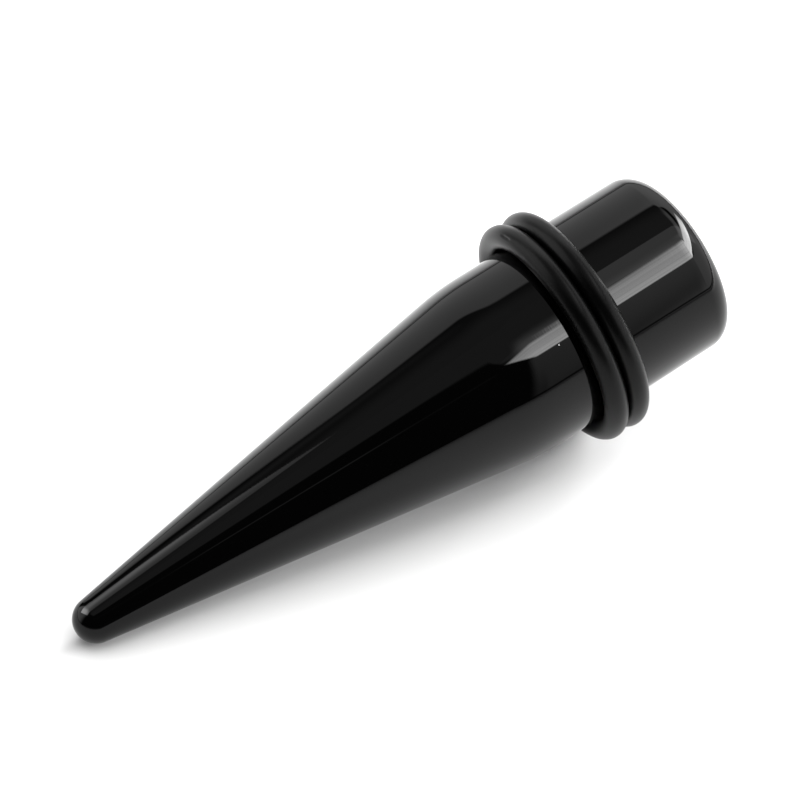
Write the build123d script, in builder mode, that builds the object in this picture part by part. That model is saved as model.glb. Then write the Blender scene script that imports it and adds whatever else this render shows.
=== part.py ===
"""Ear stretching taper with two rubber O-rings, lying at rest on its tip and its front ring.

The taper is one turned and polished bar: a small ball tip, a long straight cone, a soft blend,
a straight shank and a flat butt end with a rounded edge. Two round rubber rings sit side by side
on the shank. +X runs from the tip towards the butt, +Z is up, and the origin is under the middle
of the whole thing, on the surface that it lies on. Millimetres and degrees.
"""

import os
from math import asin, atan2, cos, degrees, hypot, radians, sin

from build123d import *

# Driving dimensions of the taper, measured along its own axis from the tip
shank_diameter = 19.0
overall_length = 70.6
tip_radius = 2.3
cone_half_angle = 9.0
blend_radius = 28.0
butt_edge_radius = 2.5

# Driving dimensions of the rubber rings
ring_thickness = 2.4
front_ring_position = 55.2
gap_between_rings = 0.05
gap_under_rings = 0.03

# Each ring is drawn just beside its lowest point, turned this far about the axis from the top
ring_seam_angle = 181.7

# Sizes that follow from them
shank_radius = shank_diameter / 2
shank_end = overall_length - butt_edge_radius
butt_face_radius = shank_radius - butt_edge_radius
ring_tube_radius = ring_thickness / 2
ring_path_radius = shank_radius + gap_under_rings + ring_tube_radius
rear_ring_position = front_ring_position + ring_thickness + gap_between_rings

# The cone starts where it leaves the tip ball and ends where it meets the blend
cone_start_radius = tip_radius * cos(radians(cone_half_angle))
cone_end_radius = shank_radius - blend_radius * (1 - cos(radians(cone_half_angle)))
cone_slope_length = (cone_end_radius - cone_start_radius) / sin(radians(cone_half_angle))

# At rest the tip ball and the front ring touch the same level surface, which sets the tilt
reach = front_ring_position - tip_radius
rest_tilt = asin((ring_tube_radius - tip_radius) / hypot(reach, ring_path_radius)) + atan2(
    ring_path_radius, reach
)

# The tip's place puts the origin under the middle of the box and the contacts at height 0
lowest_x = tip_radius * (cos(rest_tilt) - 1)
highest_x = shank_end * cos(rest_tilt) + butt_face_radius * sin(rest_tilt) + butt_edge_radius
tip_point = Vector(-(lowest_x + highest_x) / 2, 0, tip_radius * (1 - sin(rest_tilt)))
taper_direction = Vector(cos(rest_tilt), 0, sin(rest_tilt))
taper_axis = Axis(tip_point, taper_direction)

# In these planes x runs along the taper's axis and y is the distance from it. In the first one
# y points upwards, and in the second one it points down at the surface
across = Vector(0, -1, 0)
taper_plane = Plane(tip_point, x_dir=taper_direction, z_dir=across)
ring_plane = Plane(
    tip_point, x_dir=taper_direction, z_dir=across.rotate(taper_axis, ring_seam_angle)
)

# Taper body: half of its outline, turned about the axis
with BuildPart() as taper_body:
    with BuildSketch(taper_plane):
        with BuildLine():
            tip = JernArc((0, 0), (0, 1), tip_radius, -(90 - cone_half_angle))
            cone = PolarLine(tip @ 1, cone_slope_length, cone_half_angle)
            blend = JernArc(cone @ 1, cone % 1, blend_radius, -cone_half_angle)
            shank = Line(blend @ 1, (shank_end, shank_radius))
            edge = JernArc(shank @ 1, shank % 1, butt_edge_radius, -90)
            butt_face = Line(edge @ 1, (overall_length, 0))
            Line(butt_face @ 1, tip @ 0)
        make_face()
    revolve(axis=taper_axis)

# Front ring: round section, and its underside meets the surface
with BuildPart() as front_o_ring:
    with BuildSketch(ring_plane):
        with Locations((front_ring_position, ring_path_radius)):
            Circle(ring_tube_radius)
    revolve(axis=taper_axis)

# Rear ring: the same ring, close behind the front one
with BuildPart() as rear_o_ring:
    with BuildSketch(ring_plane):
        with Locations((rear_ring_position, ring_path_radius)):
            Circle(ring_tube_radius)
    revolve(axis=taper_axis)

pieces = {"taper_body": taper_body, "front_o_ring": front_o_ring, "rear_o_ring": rear_o_ring}
os.makedirs("parts", exist_ok=True)
for name, piece in pieces.items():
    piece.part.label = name
    export_step(piece.part, f"parts/{name}.step")

print(f"rest tilt {degrees(rest_tilt):.3f} degrees, tip point {tip_point}")
print(f"shank runs from {(blend @ 1).X:.2f} to {shank_end:.2f} along the axis")
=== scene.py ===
"""Ear stretching taper with two rubber rings, lying on a pale floor in soft studio light.

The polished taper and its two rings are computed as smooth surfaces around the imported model's
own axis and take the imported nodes' places. Metres, with +X from the tip towards the butt and +Z up.
"""

from math import atan2, cos, pi, radians, sin, tan

import bpy
import numpy as np
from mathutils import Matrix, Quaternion, Vector


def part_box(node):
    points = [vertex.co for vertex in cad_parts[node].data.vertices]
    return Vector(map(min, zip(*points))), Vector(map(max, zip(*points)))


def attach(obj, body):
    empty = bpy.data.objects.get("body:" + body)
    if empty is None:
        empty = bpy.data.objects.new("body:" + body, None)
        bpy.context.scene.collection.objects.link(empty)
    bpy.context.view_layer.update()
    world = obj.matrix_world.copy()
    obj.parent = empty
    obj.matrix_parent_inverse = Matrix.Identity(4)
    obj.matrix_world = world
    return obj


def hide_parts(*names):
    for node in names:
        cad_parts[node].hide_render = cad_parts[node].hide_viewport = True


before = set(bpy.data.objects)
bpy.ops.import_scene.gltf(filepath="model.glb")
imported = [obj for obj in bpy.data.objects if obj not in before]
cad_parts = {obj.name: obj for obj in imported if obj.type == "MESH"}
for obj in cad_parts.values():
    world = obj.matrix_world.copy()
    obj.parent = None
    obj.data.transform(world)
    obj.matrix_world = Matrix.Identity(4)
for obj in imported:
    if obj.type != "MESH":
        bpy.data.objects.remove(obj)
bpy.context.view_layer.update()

mm = 0.001
degrees_per_radian = 180 / pi

# Sizes of the taper and its rings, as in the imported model
shank_radius = 9.5 * mm
overall_length = 70.6 * mm
tip_radius = 2.3 * mm
cone_half_angle = radians(9)
blend_radius = 28 * mm
ring_tube_radius = 1.2 * mm
ring_path_radius = 10.73 * mm

# How finely the surfaces are divided, along their straight and curved parts and round them
short_steps = 12
straight_steps = 24
curve_steps = 24
edge_steps = 32
cone_steps = 69
taper_sides = 360
ring_turns = 480
ring_sides = 96

# The floor, in metres
floor_radius = 6
floor_sides = 96

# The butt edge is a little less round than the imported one
butt_edge_radius = 2.4 * mm

# The rings sit a little askew on the shank
ring_lean = radians(1)

# A speck of dust on the taper in front of the rings
dust_speck = Vector((14.78, -6.63, 17.92)) * mm

# A nick in the front ring: its place round the axis and round the tube, and its half sizes
nick_place = radians(65.5), radians(320)
nick_size = radians(4), radians(5)
nick_depth = 0.12 * mm

# Where the photograph's camera stands, as it turns round the object and looks down at the floor
camera_azimuth = radians(-33.39)
camera_elevation = radians(45.98)
camera_distance = 351.9 * mm
camera_aim = Vector((7.71, 10.06, 0)) * mm
camera_lens = 157.5
camera_clip_start = 10 * mm


class Wire:
    """One output socket of a node. Arithmetic on it adds Math nodes to its tree."""

    def __init__(self, socket):
        self.socket = socket
        self.tree = socket.id_data

    def math(self, operation, *others):
        """A Math node fed with this socket and then the others."""
        return maths(self.tree, operation, self, *others)

    def __add__(self, other):
        return maths(self.tree, "ADD", self, other)

    def __sub__(self, other):
        return maths(self.tree, "SUBTRACT", self, other)

    def __rsub__(self, other):
        return maths(self.tree, "SUBTRACT", other, self)

    def __mul__(self, other):
        return maths(self.tree, "MULTIPLY", self, other)

    __radd__ = __add__
    __rmul__ = __mul__

    def rise(self, start, end):
        """0 below start and 1 above end, with a soft ramp between them."""
        settings = {"interpolation_type": "SMOOTHSTEP"}
        values = {"Value": self, "From Min": start, "From Max": end}
        return add_node(self.tree, "ShaderNodeMapRange", settings, values)["Result"]

    def band(self, start, end, softness):
        """1 between start and end and 0 outside, with soft ramps centred on both."""
        half = softness / 2
        return self.rise(start - half, start + half) * (1 - self.rise(end - half, end + half))


def add_node(tree, kind, settings, values):
    """Adds a node, with its settings first and then its inputs, and gives its outputs as wires."""
    node = tree.nodes.new(kind)
    for name, value in settings.items():
        setattr(node, name, value)
    for name, value in values.items():
        if isinstance(value, Wire):
            tree.links.new(value.socket, node.inputs[name])
        else:
            node.inputs[name].default_value = value
    return {output.name: Wire(output) for output in node.outputs if output.enabled}


def maths(tree, operation, *values):
    """One Math node on values and wires."""
    inputs = dict(enumerate(values))
    return add_node(tree, "ShaderNodeMath", {"operation": operation}, inputs)["Value"]


def new_tree(owner):
    """Switches the owner to nodes and gives its empty tree."""
    owner.use_nodes = True
    owner.node_tree.nodes.clear()
    return owner.node_tree


def middle(node):
    """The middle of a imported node's box."""
    low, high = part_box(node)
    return (np.array(low) + np.array(high)) / 2


# The taper's own axes: along it, across it and upwards from it
body_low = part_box("taper_body")[0]
tip_ball_centre = np.array([body_low[0] + tip_radius, 0, tip_radius])
front_ring_centre = middle("front_o_ring")
rear_ring_centre = middle("rear_o_ring")
reach = front_ring_centre - tip_ball_centre
along = reach / np.linalg.norm(reach)
across = np.array([0, 1, 0])
upward = np.cross(along, across)
tip_point = tip_ball_centre - along * tip_radius
rest_tilt = atan2(along[2], along[0])


def around_axis(centre, offset, radius, angle):
    """Points at an offset along the axis from a centre, at a radius and an angle round the axis."""
    outwards = np.cos(angle)[..., None] * across + np.sin(angle)[..., None] * upward
    return centre + offset[..., None] * along + radius[..., None] * outwards


def make_piece(name, points, faces, slot, *nodes):
    """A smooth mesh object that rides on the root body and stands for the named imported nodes."""
    mesh = bpy.data.meshes.new(name)
    mesh.from_pydata(points.reshape(-1, 3).tolist(), [], faces)
    mesh.polygons.foreach_set("use_smooth", np.ones(len(mesh.polygons), dtype=bool))
    mesh.validate()
    piece = bpy.data.objects.new(name, mesh)
    bpy.context.scene.collection.objects.link(piece)
    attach(piece, "root")
    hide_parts(*nodes)
    return piece


def grid_quads(rows, columns, wrap_rows):
    """Corner numbers of the quads of a grid whose columns close up, and whose rows may too.

    The faces point outwards when the columns run round the axis, and the rows lead along it where
    the surface is farthest from it.
    """
    row = np.arange(rows if wrap_rows else rows - 1)[:, None]
    column = np.arange(columns)[None, :]
    next_row = (row + 1) % rows
    next_column = (column + 1) % columns
    corners = (
        row * columns + column,
        row * columns + next_column,
        next_row * columns + next_column,
        next_row * columns + column,
    )
    return np.stack(corners, axis=-1).reshape(-1, 4).tolist()


def taper_outline():
    """Places along the axis and radii of the turned outline, from the tip to the middle of the butt.

    Tip: a circle's arc, from the pole until its slope is the cone's. Cone: a straight line. Blend:
    an arc that ends level with the axis. Shank: a straight line. Edge: a quarter of a circle.
    Face: a straight line to the axis.
    """
    arc = np.linspace(0, pi / 2 - cone_half_angle, curve_steps + 1)
    tip = tip_radius * (1 - np.cos(arc)), tip_radius * np.sin(arc)
    blend_start_radius = shank_radius - blend_radius * (1 - cos(cone_half_angle))
    cone_length = (blend_start_radius - tip[1][-1]) / tan(cone_half_angle)
    step = np.linspace(0, 1, cone_steps + 1)[1:]
    cone = tip[0][-1] + step * cone_length, tip[1][-1] + step * (blend_start_radius - tip[1][-1])
    bend = np.linspace(cone_half_angle, 0, curve_steps + 1)[1:]
    shank_start = cone[0][-1] + blend_radius * sin(cone_half_angle)
    blend = shank_start - blend_radius * np.sin(bend), shank_radius - blend_radius * (1 - np.cos(bend))
    edge_start = overall_length - butt_edge_radius
    step = np.linspace(0, 1, straight_steps + 1)[1:]
    shank = shank_start + step * (edge_start - shank_start), np.full(step.size, shank_radius)
    turn = np.linspace(0, pi / 2, edge_steps + 1)[1:]
    edge = (
        edge_start + butt_edge_radius * np.sin(turn),
        shank_radius - butt_edge_radius * (1 - np.cos(turn)),
    )
    step = np.linspace(1, 0, short_steps + 1)[1:]
    face = np.full(step.size, overall_length), (shank_radius - butt_edge_radius) * step
    return [np.concatenate(parts) for parts in zip(tip, cone, blend, shank, edge, face)]


def make_taper_body():
    """The outline turned round the axis. Its first and last points are single poles."""
    place, radius = taper_outline()
    angle = np.arange(taper_sides) * 2 * pi / taper_sides
    inner = slice(1, -1)
    place_grid, angle_grid = np.meshgrid(place[inner], angle, indexing="ij")
    radius_grid = np.broadcast_to(radius[inner, None], angle_grid.shape)
    rows = len(place) - 2
    points = around_axis(tip_point, place_grid, radius_grid, angle_grid).reshape(-1, 3)
    poles = np.stack([tip_point, tip_point + overall_length * along])
    points = np.concatenate([points, poles])
    here = np.arange(taper_sides)
    following = (here + 1) % taper_sides
    last_row = (rows - 1) * taper_sides
    tip_pole = np.full(taper_sides, rows * taper_sides)
    tip_fan = np.stack([tip_pole, following, here], axis=1)
    butt_fan = np.stack([tip_pole + 1, last_row + here, last_row + following], axis=1)
    faces = grid_quads(rows, taper_sides, False) + tip_fan.tolist() + butt_fan.tolist()
    return make_piece("polished_taper", points, faces, "polished_acrylic", "taper_body")


def make_ring(name, node, centre, depth):
    """A round tube bent to a circle round the axis, and leaning on the shank, with a nick.

    With u round the axis and v round the tube, the radius is path + tube * cos(v), and the place
    along the axis is tube * sin(v), plus the lean, which grows with the distance across the axis.
    The tube is thinner at the nick, by a bell curve across it and a flatter one along it.
    """
    u = np.arange(ring_turns) * 2 * pi / ring_turns
    v = np.arange(ring_sides) * 2 * pi / ring_sides
    v_grid, u_grid = np.meshgrid(v, u, indexing="ij")
    nick_along = ((u_grid - nick_place[0]) / nick_size[0]) ** 4
    nick_across = ((v_grid - nick_place[1]) / nick_size[1]) ** 2
    tube = ring_tube_radius - depth * np.exp(-nick_along - nick_across)
    radius = ring_path_radius + tube * np.cos(v_grid)
    offset = tube * np.sin(v_grid) + tan(ring_lean) * radius * np.cos(u_grid)
    points = around_axis(centre, offset, radius, u_grid)
    return make_piece(name, points, grid_quads(ring_sides, ring_turns, True), "satin_rubber", node)


def axis_coordinates(tree):
    """Object coordinates in millimetres, turned so that X runs along the taper's own axis."""
    coordinates = add_node(tree, "ShaderNodeTexCoord", {}, {})["Object"]
    values = {"Vector": coordinates, "Rotation": (0, rest_tilt, 0), "Scale": (1 / mm,) * 3}
    return add_node(tree, "ShaderNodeMapping", {"vector_type": "POINT"}, values)["Vector"]


def noise(tree, vector, scale, detail, stretch):
    """Noise on a vector that is first stretched along its axes."""
    stretched = add_node(tree, "ShaderNodeMapping", {}, {"Vector": vector, "Scale": stretch})["Vector"]
    values = {"Vector": stretched, "Scale": scale, "Detail": detail, "Roughness": 0.55}
    return add_node(tree, "ShaderNodeTexNoise", {}, values)["Fac"]


def finish_surface(tree, shader):
    """Sends a shader to the material's output."""
    add_node(tree, "ShaderNodeOutputMaterial", {}, {"Surface": shader})


def polished_acrylic():
    """Deep black polished acrylic with faint turning marks round it."""
    material = bpy.data.materials.new("polished_acrylic")
    tree = new_tree(material)
    vector = axis_coordinates(tree)
    marks = noise(tree, vector, scale=1, detail=3, stretch=(6, 0.12, 0.12))
    smears = noise(tree, vector, scale=0.5, detail=2, stretch=(0.6, 1, 1))
    roughness = 0.025 + 0.05 * smears.rise(0.5, 0.75) * marks.rise(0.45, 0.8)
    values = {"Strength": 0.02, "Distance": 0.02 * mm, "Height": marks}
    bump = add_node(tree, "ShaderNodeBump", {}, values)
    coordinates = add_node(tree, "ShaderNodeTexCoord", {}, {})["Object"]
    values = {0: coordinates, 1: dust_speck}
    away = add_node(tree, "ShaderNodeVectorMath", {"operation": "DISTANCE"}, values)["Value"]
    values = {
        "Base Color": 0.0001 + 0.3 * (1 - away.rise(0.03 * mm, 0.11 * mm)),
        "Roughness": roughness,
        "IOR": 1.49,
        "Specular IOR Level": 0.19,
        "Normal": bump["Normal"],
    }
    finish_surface(tree, add_node(tree, "ShaderNodeBsdfPrincipled", {}, values)["BSDF"])
    return material


def satin_rubber():
    """Black silicone rubber with a fine grain and a soft sheen."""
    material = bpy.data.materials.new("satin_rubber")
    tree = new_tree(material)
    vector = axis_coordinates(tree)
    grain = noise(tree, vector, scale=9, detail=3, stretch=(1, 1, 1))
    clouds = noise(tree, vector, scale=0.7, detail=2, stretch=(1, 1, 1))
    values = {"Strength": 0.15, "Distance": 0.01 * mm, "Height": grain}
    bump = add_node(tree, "ShaderNodeBump", {}, values)
    values = {
        "Base Color": (0.0008, 0.0008, 0.0008, 1),
        "Roughness": 0.3 + 0.06 * clouds,
        "IOR": 1.43,
        "Specular IOR Level": 0.17,
        "Normal": bump["Normal"],
    }
    finish_surface(tree, add_node(tree, "ShaderNodeBsdfPrincipled", {}, values)["BSDF"])
    return material


def pale_floor():
    """A plain pale matt floor."""
    material = bpy.data.materials.new("pale_floor")
    tree = new_tree(material)
    values = {"Base Color": (0.6, 0.6, 0.6, 1), "Roughness": 0.9, "Specular IOR Level": 0}
    finish_surface(tree, add_node(tree, "ShaderNodeBsdfPrincipled", {}, values)["BSDF"])
    return material


def make_floor():
    """A wide round floor at the height that the taper lies on."""
    mesh = bpy.data.meshes.new("floor")
    heights = np.zeros(floor_sides)
    angle = np.arange(floor_sides) * 2 * pi / floor_sides
    rim = floor_radius * np.stack([np.cos(angle), np.sin(angle), heights], axis=1)
    mesh.from_pydata(rim.tolist(), [], [list(range(floor_sides))])
    floor = bpy.data.objects.new("floor", mesh)
    bpy.context.scene.collection.objects.link(floor)
    mesh.materials.append(pale_floor())
    return floor


def make_camera():
    """The photograph's camera, looking at a point on the floor."""
    back = Vector(
        (
            sin(camera_azimuth) * cos(camera_elevation),
            -cos(camera_azimuth) * cos(camera_elevation),
            sin(camera_elevation),
        )
    )
    camera = bpy.data.objects.new("camera", bpy.data.cameras.new("camera"))
    bpy.context.scene.collection.objects.link(camera)
    camera.data.lens = camera_lens
    camera.data.clip_start = camera_clip_start
    camera.location = camera_aim + back * camera_distance
    camera.rotation_euler = back.to_track_quat("Z", "Y").to_euler()
    bpy.context.scene.camera = camera


def light_only(lamp, piece):
    """Keeps a lamp's light to one object."""
    lit = bpy.data.collections.new(lamp.name + "_lit")
    lit.objects.link(piece)
    lamp.light_linking.receiver_collection = lit


def aim_point(azimuth, elevation):
    """The unit vector at an azimuth round the object and an elevation above the floor, in degrees."""
    flat = cos(radians(elevation))
    return Vector((cos(radians(azimuth)) * flat, sin(radians(azimuth)) * flat, sin(radians(elevation))))


def make_panel(name, azimuth, elevation, distance, size, brightness, shift=(0, 0), roll=0):
    """A rectangular softbox that faces the object from a direction.

    The shift moves it in its own plane, towards growing azimuth and upwards, and the roll turns it
    there. The brightness is that of its face, whatever its size.
    """
    width, height = size
    lamp = bpy.data.lights.new(name, "AREA")
    lamp.shape = "RECTANGLE"
    lamp.size = width
    lamp.size_y = height
    lamp.energy = brightness * pi * width * height
    panel = bpy.data.objects.new(name, lamp)
    bpy.context.scene.collection.objects.link(panel)
    direction = aim_point(azimuth, elevation)
    turn = direction.to_track_quat("Z", "Y")
    panel.location = direction * distance + turn @ Vector((*shift, 0))
    panel.rotation_euler = (turn @ Quaternion((0, 0, 1), radians(roll))).to_euler()
    return panel


def panel_place(tree):
    """How far across its panel and how far up it a point lies, both from 0 to 1."""
    place = add_node(tree, "ShaderNodeNewGeometry", {}, {})["Parametric"]
    part = add_node(tree, "ShaderNodeSeparateXYZ", {}, {"Vector": place})
    return place, part["X"], part["Y"]


def shade_panel(tree, strength):
    """Sends a strength to a lamp's output."""
    shader = add_node(tree, "ShaderNodeEmission", {}, {"Strength": strength})["Emission"]
    add_node(tree, "ShaderNodeOutputLight", {}, {"Surface": shader})


def shade_key(lamp):
    """Makes the key softbox uneven: dim at both ends and the top, brightest along its lower edge."""
    tree = new_tree(lamp)
    place, sideways, height = panel_place(tree)
    reach = sideways * 2 - 0.62
    up = height * 1.16 - 0.06
    left_end = (reach + 0.24 * up).rise(-0.43, -0.385)
    middle_part = 0.4 + 0.6 * (reach - 0.12 * up).rise(-0.335, -0.26)
    right_end = 1 - 0.7 * reach.rise(0.6, 1.38)
    over_butt = reach.band(-0.265, -0.12, 0.05)
    top_edge = 1 - 0.98 * (up - 0.22 * over_butt - 0.08 * reach.rise(-0.12, 0)).rise(0.7, 0.86)
    bottom_edge = (up - 0.1 * reach.rise(-0.33, -0.1)).rise(-0.05, 0.02)
    lower_glow = 1.1 - 0.6 * up
    streaks = 0.25 + 1.5 * noise(tree, place, scale=1, detail=3, stretch=(2, 34, 1))
    outline = left_end * middle_part * right_end * top_edge * bottom_edge
    shade_panel(tree, outline * lower_glow * streaks)


def shade_rear(lamp):
    """Makes the rear softbox dim at the top and along the side that the cone mirrors."""
    tree = new_tree(lamp)
    place, sideways, up = panel_place(tree)
    dim_side = 0.25 + 0.75 * sideways.rise(0.1, 0.6)
    dim_top = 1 - 0.6 * up.rise(0.5, 1)
    shade_panel(tree, dim_side * dim_top)


def make_surroundings():
    """The studio round the object: its brightness by direction, as plain soft fields."""
    world = bpy.data.worlds.new("studio")
    bpy.context.scene.world = world
    tree = new_tree(world)
    direction = add_node(tree, "ShaderNodeTexCoord", {}, {})["Generated"]
    part = add_node(tree, "ShaderNodeSeparateXYZ", {}, {"Vector": direction})
    azimuth = part["Y"].math("ARCTAN2", part["X"]) * degrees_per_radian
    elevation = part["Z"].math("ARCSINE") * degrees_per_radian

    # The walls are brighter to the right of the camera and behind the object than beside the tip
    dark_side = 0.055
    wall_amount = 1.05 * azimuth.rise(-84, -79) + 0.55 * azimuth.rise(-77, -74)
    wall_amount = wall_amount + 0.95 * azimuth.rise(-73, -69) - 0.9 * azimuth.rise(66, 76)
    climb = elevation.rise(-5, 45)
    falloff = 0.7 - 0.5 * azimuth.rise(-73, -69) + 0.58 * azimuth.band(5, 72, 20)
    wall_shade = 1.13 - (1 - climb) * falloff
    wall_top = 42 + 15 * azimuth.rise(25, 52) - 9 * azimuth.rise(80, 100)
    wall_end = 1 - (azimuth - 0.21 * elevation).rise(91.2, 93)
    wall = wall_amount * wall_shade * wall_end * (1 - (elevation - wall_top).rise(-2, 2))
    left_slant = (azimuth - 0.62 * elevation).rise(78.3, 79.8)
    left_wall = 2.3 * azimuth.rise(106, 109.5) * left_slant + 0.3 * azimuth.rise(100, 108)
    left_wall = left_wall * (1 - azimuth.rise(150, 175)) * (1 - elevation.rise(50, 62))

    # A dark line where the floor ends, and in its place a low glow on the side of the tip
    line = 1 - 0.92 * elevation.band(0.3, 2.2, 0.5) * azimuth.rise(-86, -82)
    glow = 0.5 * (1 - elevation.rise(0, 7)) * (1 - azimuth.rise(-101, -97))

    # Above the walls the ceiling is dim, with a haze over the key softbox
    ceiling_start = 63 - 9 * azimuth.rise(-120, -98)
    front_ceiling = 0.55 * (elevation - ceiling_start).rise(-1.3, 1.3) * (1 - azimuth.rise(20, 60))
    rear_ceiling = (0.14 + 0.36 * elevation.rise(56, 76)) * azimuth.rise(20, 60) * elevation.rise(40, 56)
    haze = 2.5 * azimuth.rise(-94, -78) * elevation.rise(52, 57) * (1 - elevation.rise(57, 73))
    haze = haze + 3 * azimuth.rise(-62, -52) * elevation.band(57, 70, 5)
    haze = haze * (1 - 0.55 * azimuth.rise(-20, 5)) * (1 - azimuth.rise(20, 60))

    # A thin faint line across the dark side that the cone mirrors along its whole length
    thread = (elevation + 0.25 * azimuth).band(18.3, 19.7, 0.8) * azimuth.band(-140, -103, 4)
    thread = thread * (0.12 + 0.5 * azimuth.band(-114, -107, 3))

    walls = dark_side + (wall + left_wall) * line + glow
    radiance = walls + front_ceiling + rear_ceiling + haze + thread
    shader = add_node(tree, "ShaderNodeBackground", {}, {"Strength": radiance})["Background"]
    add_node(tree, "ShaderNodeOutputWorld", {}, {"Surface": shader})


taper = make_taper_body()
front_ring = make_ring("front_rubber_ring", "front_o_ring", front_ring_centre, nick_depth)
rear_ring = make_ring("rear_rubber_ring", "rear_o_ring", rear_ring_centre, 0)

taper.data.materials.append(polished_acrylic())
rubber = satin_rubber()
front_ring.data.materials.append(rubber)
rear_ring.data.materials.append(rubber)

floor = make_floor()
make_camera()
make_surroundings()

# The polished taper mirrors these three softboxes, which light nothing else
key_distance = 1.5
key_size = (2.0 * key_distance, 0.418 * key_distance)
key_shift = (0.38 * key_distance, 0.018 * key_distance)
key = make_panel(
    "key_softbox", -45, 50, key_distance, key_size, brightness=40, shift=key_shift, roll=-7
)
shade_key(key.data)
light_only(key, taper)

rear = make_panel(
    "rear_softbox", 133, 46, 1.5, size=(0.825, 1.08), brightness=12, shift=(0.03, 0.012), roll=-36
)
shade_rear(rear.data)
light_only(rear, taper)

card = make_panel(
    "ceiling_card", -90, 89, 0.17, size=(0.36, 0.058), brightness=1.4, shift=(0.219, -0.039)
)
light_only(card, taper)

# And these three light nothing but the floor
overhead = make_panel("overhead_softbox", 90, 84, 0.2, size=(0.2, 0.2), brightness=3.2)
light_only(overhead, floor)
fill = make_panel("fill_softbox", -18, 17, 0.45, size=(0.3, 0.1), brightness=50)
light_only(fill, floor)
side = make_panel("side_softbox", 20, 14, 0.4, size=(0.12, 0.08), brightness=90)
light_only(side, floor)

bpy.context.scene.view_settings.view_transform = "Standard"
